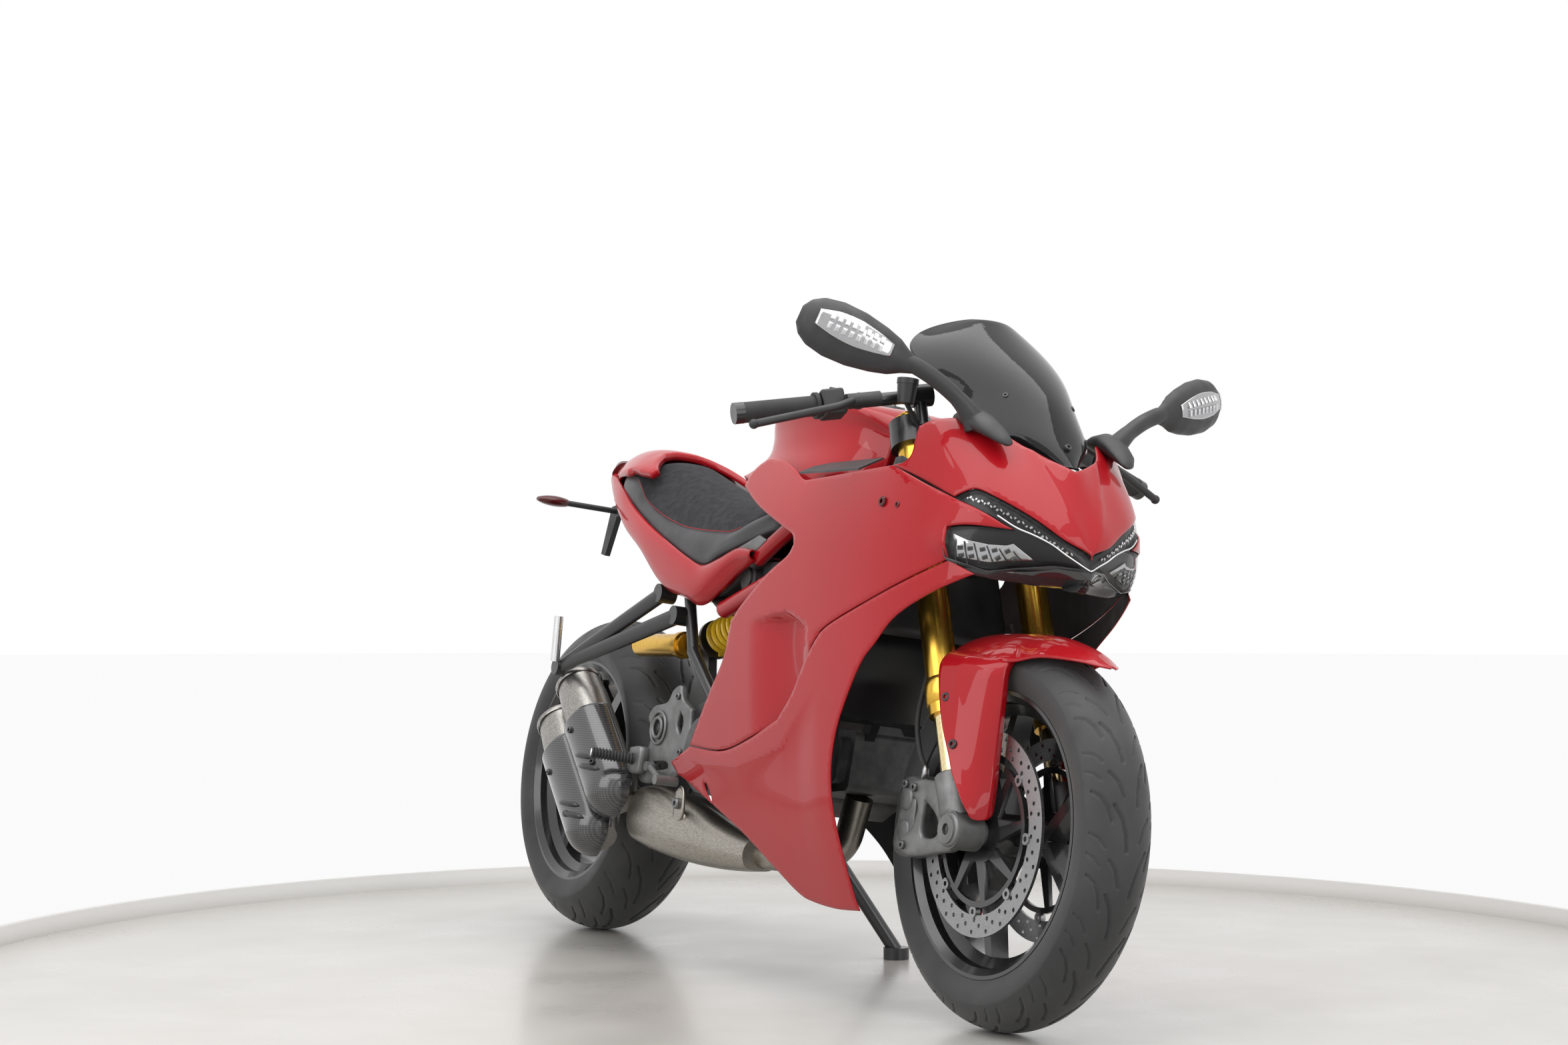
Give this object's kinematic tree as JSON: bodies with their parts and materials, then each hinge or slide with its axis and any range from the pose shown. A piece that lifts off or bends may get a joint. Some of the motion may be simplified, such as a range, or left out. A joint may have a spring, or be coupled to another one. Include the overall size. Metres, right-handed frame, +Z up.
{
  "type": "sport motorcycle",
  "caption": "Fully faired road sport motorcycle leaning on its side stand, with turning wheels, steering and folding stand.",
  "frame": {"origin": "on the road surface under the centre of the bounding box", "axes": "+X forward along the wheelbase, +Y to the rider's left, +Z up from the road; the bike leans 7.57 degrees to +Y on its side stand"},
  "size_m": [2.0928, 0.836, 1.1372],
  "materials": {
    "tyre": "matt",
    "wheel_black": "satin black",
    "disc_steel": "turned",
    "grey_alloy": "grey anodised",
    "dark_steel": "oiled",
    "gold_anodised": "gold anodised",
    "pale_gold": "coated and polished",
    "caliper_grey": "hard anodised",
    "black_metal": "satin black",
    "rubber": "matt",
    "black_plastic": "fine grain",
    "red_paint": "gloss over plastic and steel",
    "engine_grey": "painted casting",
    "dark_cover": "satin",
    "cast_grey": "cast",
    "silver_alloy": "polished",
    "brushed_can": "brushed",
    "carbon_weave": "twill weave under lacquer",
    "brushed_pipe": "brushed",
    "yellow_spring": "gloss",
    "lamp_dark": "clear lens over a dark reflector",
    "black_gloss": "gloss",
    "smoked_screen": "dark smoked",
    "seat_cover": "matt with a softer centre",
    "red_lens": "clear"
  },
  "bodies": {
    "chassis": {"beak": "black_gloss", "chain": "dark_steel", "collector": "brushed_pipe", "engine": "engine_grey", "engine_covers": "dark_cover", "frame": "red_paint", "front_sprocket": "dark_steel", "headlights": "lamp_dark", "heat_shield": "carbon_weave", "heel_plates": "cast_grey", "inner_panels": "black_plastic", "instruments": "black_plastic", "lower_panel_left": "red_paint", "lower_panel_right": "red_paint", "mirror_left": "black_plastic", "mirror_right": "black_plastic", "mufflers": "brushed_can", "nose_cowl": "red_paint", "panel_stays": "black_metal", "passenger_hangers": "black_metal", "passenger_pegs": "silver_alloy", "pedals": "cast_grey", "plate_bracket": "black_plastic", "radiator": "black_metal", "rear_caliper": "caliper_grey", "rear_lamps": "red_lens", "rider_pegs": "cast_grey", "seat": "seat_cover", "shock": "black_metal", "shock_reservoir": "gold_anodised", "shock_spring": "yellow_spring", "stand_bracket": "cast_grey", "subframe": "black_metal", "swingarm": "black_metal", "tail_cowl": "red_paint", "tank": "red_paint", "tank_inlays": "black_plastic", "upper_panel_left": "red_paint", "upper_panel_right": "red_paint", "windscreen": "smoked_screen"},
    "front end": {"fork_tubes": "gold_anodised", "fork_stanchions": "pale_gold", "fork_feet": "grey_alloy", "front_axle": "grey_alloy", "front_calipers": "caliper_grey", "yokes": "black_metal", "handlebars": "black_metal", "grips": "rubber", "controls": "black_plastic", "fluid_cups": "black_plastic", "front_fender": "red_paint"},
    "front road wheel": {"front_tyre": "tyre", "front_wheel": "wheel_black", "front_discs": "disc_steel"},
    "rear road wheel": {"rear_tyre": "tyre", "rear_wheel": "wheel_black", "rear_axle": "grey_alloy", "rear_disc": "disc_steel", "rear_sprocket": "dark_steel"},
    "stand leg": {"side_stand": "black_metal"}
  },
  "joints": [
    {"name": "steering", "type": "hinge", "parent": "chassis", "child": "front end", "pos_m": [0.46693, -0.02205, 0.82564], "axis": [-0.4067, 0.1203, 0.9056], "range_deg": [-24, 24]},
    {"name": "front_wheel_spin", "type": "hinge", "parent": "front end", "child": "front road wheel", "pos_m": [0.7465, -0.09218, 0.29796], "axis": [0, 0.9913, -0.1317], "continuous": true},
    {"name": "rear_wheel_spin", "type": "hinge", "parent": "chassis", "child": "rear road wheel", "pos_m": [-0.7315, -0.09016, 0.31312], "axis": [0, 0.9913, -0.1317], "continuous": true},
    {"name": "stand_fold", "type": "hinge", "parent": "chassis", "child": "stand leg", "pos_m": [-0.1315, 0.04853, 0.24093], "axis": [0.0526, 0.8863, 0.4602], "range_deg": [0, 103.93]}
  ]
}
